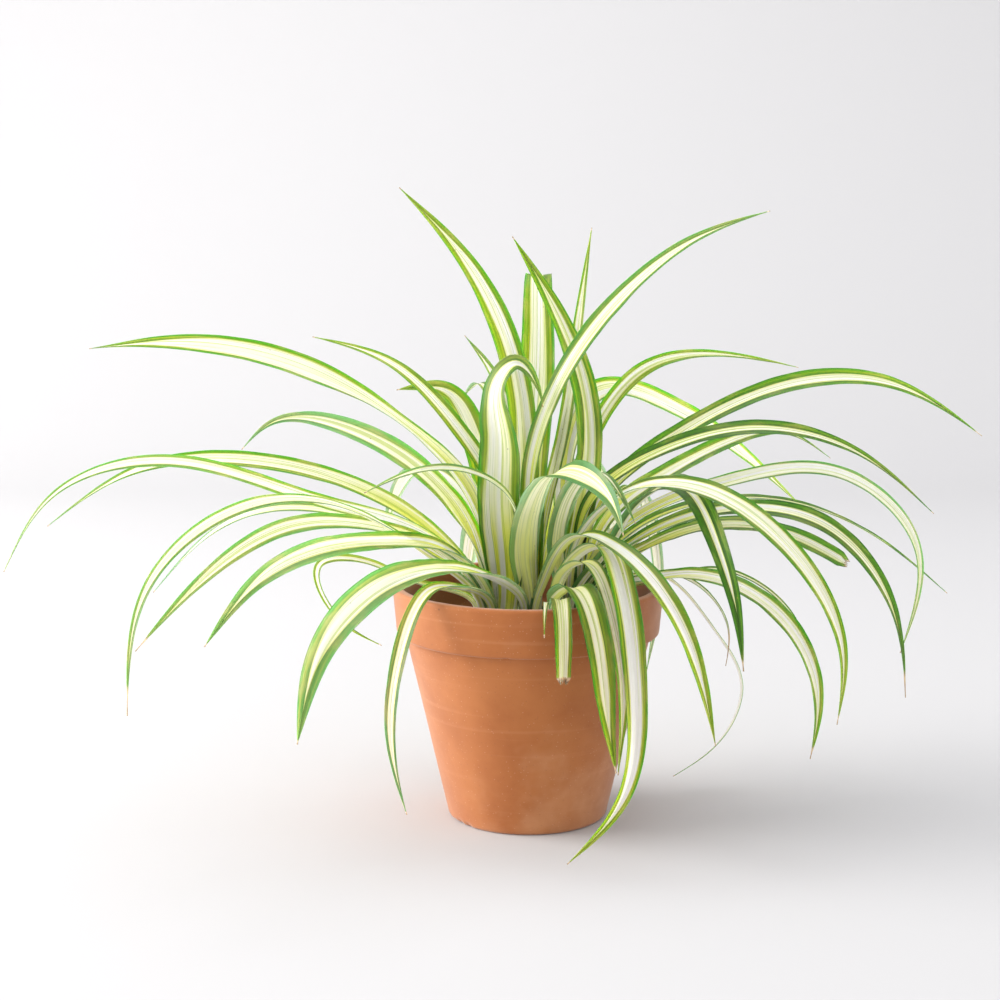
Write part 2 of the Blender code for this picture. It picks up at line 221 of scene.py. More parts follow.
# %% Make the white sheet
SHEET_LEFT, SHEET_RIGHT = -2.0, 3.0  # the window stands just past the left edge
SHEET_FRONT = -3.0
SHEET_BACK = 1.3  # where it starts to curve up
SHEET_TOP = 3.5
SHEET_BEND = 0.9
BEND_STEPS = 16
SHEET_COLOUR = (0.575, 0.567, 0.572, 1)
sheet_finish = Finish("white_sheet", roughness=0.9, specular=0.1)
sheet_finish.colour(SHEET_COLOUR)
outline = [(SHEET_FRONT, 0.0), (SHEET_BACK, 0.0)]
for step in range(1, BEND_STEPS + 1):
    angle = math.pi / 2 * step / BEND_STEPS
    outline.append((SHEET_BACK + SHEET_BEND * math.sin(angle), SHEET_BEND * (1 - math.cos(angle))))
outline.append((SHEET_BACK + SHEET_BEND, SHEET_TOP))
sheet_points = [(x, y, z) for y, z in outline for x in (SHEET_LEFT, SHEET_RIGHT)]
sheet = new_piece("white_sheet", sheet_points, grid_faces(len(outline), 2), sheet_finish.material)
print("sheet:", len(outline), "rows")

# %% [markdown]
# Daylight from one big window is soft, comes from one side and still models the pot's roundness. A large
# lamp on the left stands for the window, a weak one high up for the ceiling's light, and an even pale sky
# fills the shadows.

# %% Light the scene
def add_lamp(name, place, target, size, power, colour):
    """A round lamp that faces its target, with its size in metres and its power in watts."""
    lamp = bpy.data.lights.new(name, "AREA")
    lamp.shape = "DISK"
    lamp.size = size
    lamp.energy = power
    lamp.color = colour
    holder = bpy.data.objects.new(name, lamp)
    holder.location = place
    holder.rotation_euler = (Vector(target) - Vector(place)).to_track_quat("-Z", "Y").to_euler()
    bpy.context.scene.collection.objects.link(holder)
    return holder


SKY_COLOUR = (0.97, 0.98, 1.0, 1)
window = add_lamp("window", (-2.1, 0.0, 0.78), (0, 0, 0.15), size=2.0, power=92, colour=(1.0, 0.985, 0.96))
ceiling = add_lamp("ceiling", (0.3, 0.6, 2.4), (0, 0, 0.2), size=1.6, power=16, colour=(0.97, 0.985, 1.0))
sky = bpy.data.worlds.new("sky")
sky.use_nodes = True
background = sky.node_tree.nodes["Background"]
background.inputs["Color"].default_value = SKY_COLOUR
background.inputs["Strength"].default_value = 1.0
bpy.context.scene.world = sky
print("lamps:", window.data.energy, "W and", ceiling.data.energy, "W")

# %% [markdown]
# ## The pot
# A flowerpot is pressed or thrown clay, fired without a glaze. Its band, body and base are turned shapes, so
# one outline swept round the axis makes them. The outline is cut into short steps first, because clay is
# never quite even, and each small patch will be moved a little on its own.

# %% Draw the pot's outline
RIM_RADIUS = 75 * MM
POT_HEIGHT = 130 * MM
BASE_RADIUS = 44 * MM
BAND_HEIGHT = 26.5 * MM
BAND_TAPER = 2.5 * MM
BAND_STEP = 4.5 * MM
WALL = 6 * MM
BASE_THICKNESS = 8 * MM
DRAIN_RADIUS = 11 * MM
EDGE_ROUND = 2.2 * MM
BAND_BOTTOM = POT_HEIGHT - BAND_HEIGHT


def outer_radius_at(height):
    """The body's outer radius below the band."""
    return BASE_RADIUS + (RIM_RADIUS - BAND_TAPER - BAND_STEP - BASE_RADIUS) * height / BAND_BOTTOM


def rounded_outline(corners, arc_steps, longest):
    """A closed outline with its corners rounded and its straight runs cut into short steps."""
    points = []
    for i, (*corner, size) in enumerate(corners):
        corner = np.array(corner)
        before = np.array(corners[i - 1][:2]) - corner
        after = np.array(corners[(i + 1) % len(corners)][:2]) - corner
        start = corner + before / np.linalg.norm(before) * size
        end = corner + after / np.linalg.norm(after) * size
        for t in np.linspace(0, 1, arc_steps):
            points.append((1 - t) ** 2 * start + 2 * t * (1 - t) * corner + t**2 * end)
    stepped = []
    for here, there in zip(points, points[1:] + points[:1]):
        count = max(1, math.ceil(np.linalg.norm(there - here) / longest))
        stepped += [here + (there - here) * k / count for k in range(count)]
    return np.array(stepped)


pot_corners = [  # radius, height and rounding, from the rim's outer edge down, under the base and up inside
    (RIM_RADIUS, POT_HEIGHT, EDGE_ROUND),
    (RIM_RADIUS - BAND_TAPER, BAND_BOTTOM, 1.8 * MM),
    (outer_radius_at(BAND_BOTTOM), BAND_BOTTOM + 0.4 * MM, 0.9 * MM),
    (BASE_RADIUS, 0, 2.4 * MM),
    (DRAIN_RADIUS, 0, 1 * MM),
    (DRAIN_RADIUS, BASE_THICKNESS, 1 * MM),
    (outer_radius_at(BASE_THICKNESS) - WALL, BASE_THICKNESS, 2 * MM),
    (outer_radius_at(BAND_BOTTOM) - WALL, BAND_BOTTOM - 3 * MM, 2 * MM),
    (RIM_RADIUS - WALL - BAND_TAPER / 2, BAND_BOTTOM + 4 * MM, 2 * MM),
    (RIM_RADIUS - WALL, POT_HEIGHT, EDGE_ROUND),
]
pot_outline = rounded_outline(pot_corners, arc_steps=6, longest=1.1 * MM)
print("pot outline:", len(pot_outline), "points")

# %% [markdown]
# The outline goes round the axis in many steps. Each point is then pushed in or out: by slow waves of the
# wall, by fine rings from the tool, by the grain of the clay, and by a few chips along the edges.

# %% Sweep it round and make the clay uneven
POT_STEPS = 300
WAVE_DEPTH = 0.16 * MM
GRAIN_DEPTH = 0.03 * MM
RING_DEPTH = 0.03 * MM
CHIPS = (  # angle in degrees, height, size and depth in mm
    (212, 0.8, 3.4, 1.0), (222, 1.2, 2.6, 0.8), (204, 0.6, 2.0, 0.6), (260, 103.6, 1.6, 0.5),
    (318, 129.5, 2.2, 0.5), (150, 129.6, 3.0, 0.6), (40, 0.8, 2.8, 0.8), (96, 103.8, 2.4, 0.6),
)
CHIP_HEIGHT_SHARE = 0.6  # a chip is wider than it is high


def clay_push(radius, height, angle):
    """How far the clay stands in or out from a true turned shape."""
    place = Vector((radius * math.cos(angle), radius * math.sin(angle), height))
    wave = noise.noise(place * 28) * WAVE_DEPTH
    grain = noise.noise(place * 420) * GRAIN_DEPTH
    rings = noise.noise(Vector((radius * 260, height * 900, 0.4 * math.cos(angle)))) * RING_DEPTH
    push = wave + grain + rings
    for degrees, chip_height, size, depth in CHIPS:
        across = abs((angle - math.radians(degrees) + math.pi) % math.tau - math.pi) * radius / (size * MM)
        up = (height - chip_height * MM) / (CHIP_HEIGHT_SHARE * size * MM)
        push -= depth * MM * math.exp(-(across**2 + up**2) * 1.4) * (1 + noise.noise(place * 900))
    return push


tangent = np.roll(pot_outline, -1, axis=0) - np.roll(pot_outline, 1, axis=0)
tangent /= np.linalg.norm(tangent, axis=1)[:, None]
outward = np.stack([-tangent[:, 1], tangent[:, 0]], axis=1)
pot_points = []
for (radius, height), (out, up) in zip(pot_outline, outward):
    for k in range(POT_STEPS):
        angle = math.tau * k / POT_STEPS
        push = clay_push(radius, height, angle)
        r, z = radius + out * push, max(height + up * push, 0)
        pot_points.append((r * math.cos(angle), r * math.sin(angle), z))
rows = len(pot_outline)
pot_faces = grid_faces(rows, POT_STEPS, closed=True)
last = (rows - 1) * POT_STEPS
pot_faces += [(last + k, last + (k + 1) % POT_STEPS, (k + 1) % POT_STEPS, k) for k in range(POT_STEPS)]
print("pot skin:", len(pot_points), "points")

# %% [markdown]
# Fired clay is one colour only from far away. Close up it is mottled, paler where lime has bled through,
# darker where it stays damp, and peppered with fine grains. The finish lays those over each other: slow
# clouds first, then rings left by the turning, then bloom, damp and specks. Its bump is grain-sized.

# %% Finish the clay
clay = Finish("fired_clay", roughness=0.7, specular=0.36)
where = clay.place()
x, y, height = clay.parts(where)
clouds = clay.noise(where, 22, detail=4, rough=0.6)
tone = clay.blend(clay.rise(clouds, 0.3, 0.7), paint(166, 94, 40), paint(181, 108, 51))
rings = clay.noise(clay.stretched(where, (6.0, 6.0, 260)), 1.0, detail=3)
tone = clay.layer(tone, rings, 0.55, 0.8, 0.12, paint(232, 170, 126))
bloom = clay.noise(where, 9, detail=5, rough=0.65)
tone = clay.layer(tone, bloom, 0.5, 0.7, 0.24, paint(240, 190, 146))
damp = clay.noise(clay.joined(x, clay.math("ADD", y, 0.31), height), 13, detail=3, rough=0.6)
tone = clay.layer(tone, damp, 0.58, 0.75, 0.25, paint(168, 98, 60))

# The inside of the rim is made darker further down, towards the soil.
reach = clay.math("SQRT", clay.math("ADD", clay.times(x, x), clay.times(y, y)))
inner = clay.math("LESS_THAN", reach, RIM_RADIUS - WALL + 0.8 * MM)
above = clay.math("GREATER_THAN", height, BAND_BOTTOM)
darker_down_inside = clay.times(clay.times(inner, above), clay.rise(height, POT_HEIGHT, POT_HEIGHT - 12 * MM, 0, 0.8))
tone = clay.blend(darker_down_inside, tone, paint(140, 86, 54))

specks = clay.spots(where, 330)
tone = clay.layer(tone, specks, 0.14, 0.09, 0.22, paint(120, 70, 46))
pale_specks = clay.spots(clay.joined(y, height, x), 410)
tone = clay.layer(tone, pale_specks, 0.13, 0.08, 0.2, paint(246, 208, 176))
marks = clay.spots(clay.joined(height, x, y), 46)
tone = clay.layer(tone, marks, 0.035, 0.02, 0.6, paint(96, 58, 40))
clay.colour(tone)

grain = clay.noise(where, 900, detail=3)
pits = clay.rise(clay.spots(where, 520), 0.0, 0.25)
uneven = clay.math("ADD", clay.times(grain, 0.6), clay.times(pits, 0.4))
clay.normal(clay.bump(uneven, 0.12 * MM, 0.55))
clay.roughness(clay.rise(clouds, 0.3, 0.7, 0.7, 0.6))
clay.shader.inputs["Sheen Weight"].default_value = 0.3
clay.shader.inputs["Sheen Roughness"].default_value = 0.5
print("clay finish:", len(clay.nodes), "nodes")

# %% Set the pot in place
pot = new_piece("clay_flowerpot", pot_points, pot_faces, clay.material)
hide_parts("flowerpot")
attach(pot, "root")
print("pot:", len(pot_faces), "faces")

# %% [markdown]
# ## The soil
# Potting soil is crumbs of peat and bark with a few white grains of perlite. One uneven surface gives the
# lie of it, and a few hundred separate crumbs, each a lumpy ball, lie half sunk in it. The surface is a
# closed body, as the pot holds it.

# %% Lay the soil
SOIL_TOP = POT_HEIGHT - 25 * MM
SOIL_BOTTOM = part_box("potting_soil")[0][2]
SOIL_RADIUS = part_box("potting_soil")[1][0]
SOIL_STEPS = 180
SOIL_RINGS = 70
SOIL_SIDES = (  # radius and height where the soil meets the pot's wall and floor
    (SOIL_RADIUS, 96 * MM), (39.5 * MM, SOIL_BOTTOM + 4 * MM), (36 * MM, SOIL_BOTTOM),
)


def soil_height(x, y):
    place = Vector((x, y, 0))
    lumps = noise.noise(place * 90) * 1.3 + noise.noise(place * 260) * 0.7 + noise.noise(place * 700) * 0.35
    return SOIL_TOP + (lumps - 0.9) * MM


soil_rings = [(radius, None) for radius in np.linspace(0.4 * MM, SOIL_RADIUS, SOIL_RINGS)] + list(SOIL_SIDES)
soil_points = []
for radius, level in soil_rings:
    for k in range(SOIL_STEPS):
        angle = math.tau * k / SOIL_STEPS
        px, py = radius * math.cos(angle), radius * math.sin(angle)
        soil_points.append((px, py, soil_height(px, py) if level is None else level))
rows = len(soil_rings)
soil_faces = [face[::-1] for face in grid_faces(rows, SOIL_STEPS, closed=True)]
soil_faces.append(tuple(range(SOIL_STEPS)))
soil_faces.append(tuple(range((rows - 1) * SOIL_STEPS, rows * SOIL_STEPS))[::-1])

earth = Finish("dark_soil", roughness=0.95, specular=0.2)
where = earth.place()
clumps = earth.noise(where, 160, detail=5, rough=0.7)
tone = earth.blend(earth.rise(clumps, 0.35, 0.7), paint(38, 28, 22), paint(92, 68, 50))
fibres = earth.noise(earth.stretched(where, (900, 160, 400)), 1)
earth.colour(earth.layer(tone, fibres, 0.62, 0.72, 0.6, paint(134, 100, 70)))
earth.normal(earth.bump(earth.noise(where, 1200, detail=4), 0.5 * MM, 0.8))

soil = new_piece("soil_bed", soil_points, soil_faces, earth.material)
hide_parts("potting_soil")
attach(soil, "root")
print("soil:", len(soil_points), "points")

# %% [markdown]
# Crumbs and grains are small lumps, no two alike. Each starts as a ball, is stretched its own way and dented
# by noise, and comes to lie at a random place on the soil. One seed makes every run the same.

# %% Scatter crumbs and white grains on it
rng = np.random.default_rng(7)


def scatter(name, count, smallest, largest, material, reach, sunk):
    """Many small lumps, each its own deformed ball, joined as one piece and sunk by a share of their size."""
    heap = bmesh.new()
    for _ in range(count):
        size = rng.uniform(smallest, largest)
        angle, away = rng.uniform(0, math.tau), reach * math.sqrt(rng.uniform(0.02, 1))
        centre = Vector((away * math.cos(angle), away * math.sin(angle), 0))
        centre.z = soil_height(centre.x, centre.y) + size * (1 - sunk)
        stretch = Vector(rng.uniform(0.6, 1.25, 3))
        seed = Vector(rng.uniform(0, 50, 3))
        ball = bmesh.ops.create_icosphere(heap, subdivisions=2, radius=1)
        for point in ball["verts"]:
            lump = 1 + 0.45 * noise.noise(point.co * 1.6 + seed)
            point.co = centre + Vector(c * s for c, s in zip(point.co, stretch)) * size * lump
    mesh = bpy.data.meshes.new(name)
    heap.to_mesh(mesh)
    heap.free()
    mesh.materials.append(material)
    mesh.shade_smooth()
    piece = bpy.data.objects.new(name, mesh)
    bpy.context.scene.collection.objects.link(piece)
    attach(piece, "root")
    return piece


crumbs = scatter("soil_crumbs", 620, 0.7 * MM, 2.2 * MM, earth.material, SOIL_RADIUS - 2.5 * MM, 0.4)
perlite = Finish("perlite", roughness=0.9, specular=0.2)
grain = perlite.noise(perlite.place(), 900, detail=3)
perlite.colour(perlite.blend(perlite.rise(grain, 0.3, 0.7), paint(206, 200, 188), paint(240, 238, 230)))
perlite.normal(perlite.bump(grain, 0.3 * MM, 0.7))
grains = scatter("soil_white_grains", 46, 0.7 * MM, 1.5 * MM, perlite.material, SOIL_RADIUS - 3 * MM, 0.3)
print("crumbs:", len(crumbs.data.vertices), "points; grains:", len(grains.data.vertices))

# %% [markdown]
# ## The crown
# A spider plant's leaves rise from short fleshy stems that only just clear the soil. Each stem is a low
# stump. Stumps that have grown together have no seam, so the separate balls are joined by a voxel remesh,
# which melts them into one skin, and then given the uneven rings that old leaves leave behind.

# %% Grow the crown's stems
CROWNS = {  # where each stem stands
    "left": (-15 * MM, -4 * MM),
    "heart": (0 * MM, -4 * MM),
    "back": (2 * MM, 12 * MM),
    "right": (20 * MM, 4 * MM),
    "front": (13 * MM, -14 * MM),
}
STEM_HEIGHT = 5 * MM
STUMP_RADIUS = 9.3 * MM
STUMP_FLATNESS = 0.55
STUMP_RISE = 0.6 * MM
MELT_SIZE = 0.7 * MM
RING_RIDGE = 0.35 * MM
stems = bmesh.new()
for place in CROWNS.values():
    ball = bmesh.ops.create_uvsphere(stems, u_segments=40, v_segments=24, radius=STUMP_RADIUS)
    for point in ball["verts"]:
        point.co.z *= STUMP_FLATNESS
        point.co += Vector((*place, SOIL_TOP + STUMP_RISE))
crown_mesh = bpy.data.meshes.new("crown_stems")
stems.to_mesh(crown_mesh)
stems.free()
crown = bpy.data.objects.new("crown_stems", crown_mesh)
bpy.context.scene.collection.objects.link(crown)
melt = crown.modifiers.new("melt", "REMESH")
melt.mode = "VOXEL"
melt.voxel_size = MELT_SIZE
melt.use_smooth_shade = True
bpy.context.view_layer.update()
melted = bpy.data.meshes.new_from_object(crown.evaluated_get(bpy.context.evaluated_depsgraph_get()))
crown.modifiers.clear()
crown.data = melted
for point in melted.vertices:
    ridge = noise.noise(Vector((point.co.x * 60, point.co.y * 60, point.co.z * 900)))
    point.co += point.normal * ridge * RING_RIDGE
print("crown:", len(melted.vertices), "points")

# %% Finish the crown
pale_stem = Finish("pale_stem", roughness=0.55)
where = pale_stem.place()
clouds = pale_stem.noise(where, 120, 3)
tone = pale_stem.blend(pale_stem.rise(clouds, 0.35, 0.65), paint(196, 198, 140), paint(226, 222, 178))
scars = pale_stem.noise(pale_stem.stretched(where, (0.0, 0.0, 1100)), 1.0)
pale_stem.colour(pale_stem.layer(tone, scars, 0.52, 0.64, 0.6, paint(150, 116, 72)))
pale_stem.normal(pale_stem.bump(pale_stem.noise(where, 800, 3), 0.2 * MM, 0.6))
melted.materials.clear()
melted.materials.append(pale_stem.material)
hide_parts("plant_crown")
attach(crown, "root")
print("crown finish:", len(pale_stem.nodes), "nodes")

# %% [markdown]
# ## The leaves
# A leaf is a long ribbon: folded to a trough at its foot, opening to a shallow channel, tapering to a fine
# point, with close ribs along it and a slightly wavy margin. Each leaf has its own course in the frame, so
# it is given by a few points that its midrib passes through, its width, and how its face turns on the way.
# A smooth curve through the points and a loop over cross-sections make the blade. Fifty leaves then take
# one list and one function.

# %% List the leaves
# Each crown's leaves. A leaf is its name, its heading in degrees (0 is right, 90 is back, 180 is left, -90 is
# front), its width in mm, how far its face turns about its own length from foot to tip in degrees, and its
# course: reach from the stem and height above the floor in mm, with a third number where it swings to the
# left of its heading. The last part holds what sets it apart from a plain leaf.
LEAVES = {
    "left": (
        ("heart_broad_arch", 0, 23, (85, 85, 80, 40, 30),
         ((-1, 180, -3), (-1, 215, -3), (0, 245, -2), (8, 252, 0), (18, 243, 1), (23, 228, 2)),
         {"cream": 0.6, "foot": 15, "full": 0.3, "cool": 0.35}),
        ("left_inner_fork", 150, 9, (0, -50, -40),
         ((10, 188, -5), (26, 214), (65, 247), (125, 263)),
         {"cream": 0.5, "foot": 8, "deep": 0.2}),
        ("left_high_long", 168, 14, (0, -30, -8, -55, -60, -30),
         ((15, 171, -4), (56, 218, -2), (114, 249), (191, 261), (239, 257)),
         {"cream": 0.7, "taper": 0.62}),
        ("left_high_short", 187, 14.5, (0, -45, -55, -30),
         ((19, 163), (50, 199), (87, 219), (124, 221), (140, 207)),
         {"cool": 0.8, "cream": 0.5}),
        ("left_far_upper", 179, 11.5, (0, -40, -45, -20),
         ((33, 154, -4), (77, 183, -2), (140, 199), (200, 193), (250, 162)), {}),
        ("left_far_sweep", 194, 9, (0, -45, -50, -20),
         ((34, 153), (100, 180), (180, 204), (239, 187), (264, 149)),
         {"cool": 0.3}),
        ("left_low_back", 161, 8, (0, -30, -40),
         ((41, 145), (107, 167), (165, 157), (217, 112)),
         {"cool": 0.9}),
        ("left_mid_fall", 207, 11.5, (0, -30, -45, -30),
         ((24, 140), (72, 167), (124, 171), (173, 145), (206, 114)),
         {"dry": 10, "cool": 0.45, "cream": 0.5}),
        ("left_outer_fall", 218, 8, (0, -20, -40, -20),
         ((40, 145), (106, 184), (165, 187), (215, 153), (227, 93)),
         {"dry": 14, "cream": 0.55, "cool": 0.4}),
        ("left_broad_fall", 226, 12.5, (0, -35, -45, -30),
         ((29, 148, -4), (75, 163, -1), (124, 166), (169, 155), (202, 128)),
         {"cool": 0.6, "taper": 0.6, "cream": 0.5}),
        ("left_rim_drop", 233, 9, (0, -10, -10, 0),
         ((38, 134), (63, 136), (86, 108), (94, 62), (82, 20)),
         {"cool": 1, "cream": 0.5, "pale": 0.5}),
        ("left_rim_curl", 188, 6, (0, -20, -40, -60),
         ((42, 131), (78, 146), (99, 144), (93, 119), (66, 98)),
         {"cream": 0.45, "deep": 0.1}),
        ("back_left_arch", 118, 14, (0, 10, 15),
         ((26, 152), (72, 182), (122, 176), (160, 128)), {}),
        ("back_left_low", 100, 13, (0, 0, 0),
         ((45, 140), (85, 150), (120, 118), (132, 62)), {}),
    ),
    "heart": (
        ("tall_right_sweep", 14, 14, (0, 20, 35, 35),
         ((2, 191), (19, 244), (57, 292), (97, 320), (138, 334)),
         {"cream": 0.55, "foot": 10, "cool": 0.45}),
        ("front_centre_arch", -62, 18, (0, -4, 15, 45, 50),
         ((8, 146, -5), (25, 188, -6), (57, 200, -6), (92, 190, -4), (110, 174, -7)),
         {"cream": 0.55, "foot": 11, "full": 0.28, "cool": 0.9, "deep": 0.2}),
        ("front_left_thin", 205, 7, (0, -30, -40),
         ((8, 168, 4), (16, 183, 5), (32, 194), (60, 197, -4), (96, 187, 1)),
         {"cool": 0.5}),
        ("left_front_fall", 240, 16, (0, -20, -35, -30),
         ((26, 134), (54, 145), (105, 155), (156, 151), (200, 126), (215, 92)),
         {"cool": 0.6, "taper": 0.68, "deep": 0.25, "cream": 0.5}),
        ("front_right_long", -46, 15, (0, 0, 10, 10),
         ((11, 131, 2), (40, 162, -1), (75, 157, -4), (122, 117, -7), (139, 68, -6)),
         {"deep": 0.25, "cream": 0.5}),
    ),
    "back": (
        ("tall_blunt", 88, 20, (0, 0, 0),
         ((4, 175, 2), (12, 230, -2), (28, 274, -3), (52, 298, -3), (74, 283, -5)),
         {"end": "blunt", "deep": 0.3, "cream": 0.45, "foot": 12}),
        ("tall_spike", 56, 8, (0, 10, 25),
         ((8, 157, -2), (20, 207, -7), (35, 262, -7), (56, 325, -4)), {}),
        ("tall_left", 160, 15, (-20, -60, -65, -45),
         ((2, 187, 6), (7, 244, 6), (31, 299, 5), (78, 347, 1)),
         {"cream": 0.5, "foot": 10}),
        ("left_inner_broad", 160, 17, (0, -80, -70),
         ((19, 163), (31, 203), (49, 234), (81, 234)),
         {"cream": 0.45, "foot": 10}),
        ("heart_fork", 122, 11, (0, 0, 0),
         ((10, 180), (34, 236), (72, 263)), {}),
        ("heart_short_back", 116, 13, (0, 0, 0),
         ((14, 172), (40, 220), (66, 235), (92, 224)), {}),
        ("back_arch", 97, 15, (0, 5, 5),
         ((28, 165), (75, 202), (130, 188), (170, 128)), {}),
        ("back_right_arch", 70, 14, (0, 0, 0),
         ((32, 156), (80, 186), (136, 166), (168, 104)), {}),
        ("back_middle_low", 84, 13, (0, 0, 0),
         ((40, 136), (78, 146), (106, 112), (112, 52)), {}),
    ),
    "right": (
        ("right_tall_lean", 110, 15, (0, 0, -10, -20),
         ((4, 145, -5), (4, 203, -16), (12, 251, -12), (37, 320, 17)),
         {"deep": 0.6, "foot": 10, "cream": 0.4}),
        ("right_high_back", 49, 14, (0, 10, 65, 80, 60),
         ((12, 175, 10), (34, 231, 8), (92, 224), (170, 190), (250, 143)),
         {"deep": 0.35, "cream": 0.65}),
        ("right_high_thin", 28, 9, (0, 10, 70, 40, 30),
         ((10, 150, 6), (18, 200, 8), (50, 245, 3), (105, 253), (158, 244)),
         {"deep": 0.3, "cream": 0.45}),
        ("right_long_arch", 21, 12, (0, 35, 50, 45),
         ((19, 167), (66, 208), (138, 236), (210, 234), (273, 201)),
         {"dry": 6, "deep": 0.8, "cream": 0.4, "taper": 0.6}),
        ("right_back_arch", 40, 11, (0, 35, 45, 35),
         ((32, 161), (74, 183), (125, 198), (178, 202), (225, 182)),
         {"deep": 0.85, "cream": 0.4}),
        ("right_mid_arch", 1, 12, (0, 30, 40, 20),
         ((14, 173), (50, 202), (108, 216), (160, 203), (205, 168)),
         {"deep": 0.9, "cream": 0.35}),
        ("right_dark_fall", -52, 13, (0, 10, 35, 55, 55),
         ((24, 150, 12), (43, 180, 20), (58, 189, 27), (90, 164, 28), (108, 125, 27), (114, 97, 26)),
         {"dry": 6, "cream": 0.27, "deep": 0.95, "full": 0.5}),
        ("right_pale_hook", 11, 11, (0, 25, 35, 60, 80),
         ((20, 143, 2), (43, 165), (95, 184), (157, 188), (209, 140), (200, 81)),
         {"cream": 0.7, "pale": 0.6, "deep": 0.3, "cool": 0.7}),
        ("right_straight_thin", 17, 8, (0, 10, 15, 30),
         ((27, 144), (75, 170), (143, 168), (195, 145), (241, 110)),
         {"deep": 0.95, "cream": 0.25}),
        ("right_torn", -9, 14, (0, 20, 45),
         ((40, 147), (86, 164, 3), (124, 159, 4), (154, 144, 4)),
         {"end": "torn", "deep": 0.9, "dry": 1, "cream": 0.4}),
        ("right_brown_curl", -13, 12, (0, 30, 40, 20),
         ((37, 152), (86, 173), (140, 168), (180, 120), (187, 75)),
         {"dry": 14, "deep": 0.9, "cream": 0.35, "taper": 0.55}),
        ("right_front_cream", -38, 14, (0, 20, 30, 20),
         ((12, 150, -4), (37, 181), (80, 191), (134, 169), (172, 115), (170, 77)),
         {"dry": 5, "cream": 0.62, "deep": 0.5}),
        ("right_front_fall", -30, 14, (0, 15, 20, 20),
         ((38, 132), (82, 141), (125, 126), (149, 84), (146, 50)),
         {"dry": 7, "deep": 0.4, "taper": 0.55}),
        ("right_front_thin", -20, 4, (0, 20, 30),
         ((49, 133), (84, 143), (124, 125), (142, 88)),
         {"deep": 0.8, "cream": 0.4}),
        ("right_brown_thin", -7, 5, (0, 10, 10),
         ((38, 134), (64, 135), (91, 106), (90, 85)),
         {"dry": 22, "deep": 0.6}),
        ("front_right_arch", -54, 13, (0, 0, -20, -10),
         ((6, 144, -8), (23, 186, -11), (45, 197, -12), (68, 172, -6)),
         {"deep": 0.6, "cream": 0.45, "cool": 0.7}),
        ("right_back_drop", 52, 10, (0, 0, 0),
         ((34, 150), (68, 176), (90, 145), (95, 105), (84, 63)), {}),
        ("right_thin_loop", 24, 5, (0, 10, 10, 10),
         ((28, 128), (57, 131), (96, 96), (116, 57), (102, 28), (71, 10)),
         {"cream": 0.8, "pale": 0.8, "dry": 0.5}),
        ("back_right_fall", 72, 13, (0, 0, 10),
         ((38, 133), (84, 154), (124, 132), (144, 78)), {}),
    ),
    "front": (
        ("front_floor_long", -68, 14, (0, 0, 0, 10),
         ((25, 153, 8), (42, 158, 12), (60, 145, 12), (87, 92, 8), (98, 40, -4), (93, 8, -32)), {}),
        ("front_behind", -66, 9, (0, 0, 0),
         ((20, 142, -2), (38, 150, 2), (61, 130, 4), (74, 84, 5), (75, 45, 2)), {}),
        ("front_drop", -80, 15, (0, 0, 0),
         ((28, 131, -2), (48, 139, 3), (69, 124, 8), (81, 80, 12), (85, 50, 16)),
         {"dry": 4, "cream": 0.4}),
        ("front_short_torn", -87, 10, (0, 0, 0),
         ((30, 124), (53, 134), (67, 125), (72, 95)),
         {"end": "torn", "dry": 3}),
        ("front_short_narrow", -95, 4, (0, 0, 0),
         ((30, 119), (55, 133), (64, 128), (67, 117)), {}),
    ),
}
PLAIN = {
    "cream": 0.58,  # the share of its width that is cream
    # partly the leaf's own darker green, partly painted shade: leaves on the side away from the window get
    # darker greens
    "deep": 0.35,  # how dark its green is, from 0 to 1
    # painted sheen: a duller bluish green laid on the outer half, where light glances off the face
    "cool": 0.0,  # how far the green of its outer half turns duller, from 0 to 1
    "pale": 0.0,  # how white its cream is, from 0 to 1
    "dry": 2.0,  # mm of its tip that are dry
    "end": "point",  # point, blunt or torn
    "foot": 6.5,  # its width at the foot in mm
    "full": 0.36,  # where along it, from 0 to 1, it reaches its full width
    "taper": 0.46,  # where along it, from 0 to 1, it starts to narrow
}
print("leaves:", sum(len(group) for group in LEAVES.values()))

# %% [markdown]
# Leaves crowd where they start, so each foot needs its own place. The steepest leaves of a stem stand
# innermost, and each next foot moves outwards in small steps until it is clear of those before it. From its
# foot a leaf goes almost straight up a short sheath, and then along a natural cubic spline through its own
# points, which bends no more than it must.

# %% Find each leaf's course
STATIONS = 120  # cross-sections along a leaf
ACROSS = 23  # points across it
FOOT_HEIGHT = SOIL_TOP + STEM_HEIGHT + 0.9 * MM
FOOT_WIDTH = 4.6 * MM
FOOT_CLEAR = 1.5 * MM
FIRST_FOOT_REACH = 1.2 * MM
FOOT_STEP = 0.2 * MM
SHEATH_HEIGHT = 7 * MM
SHEATH_LEAN = 1 * MM


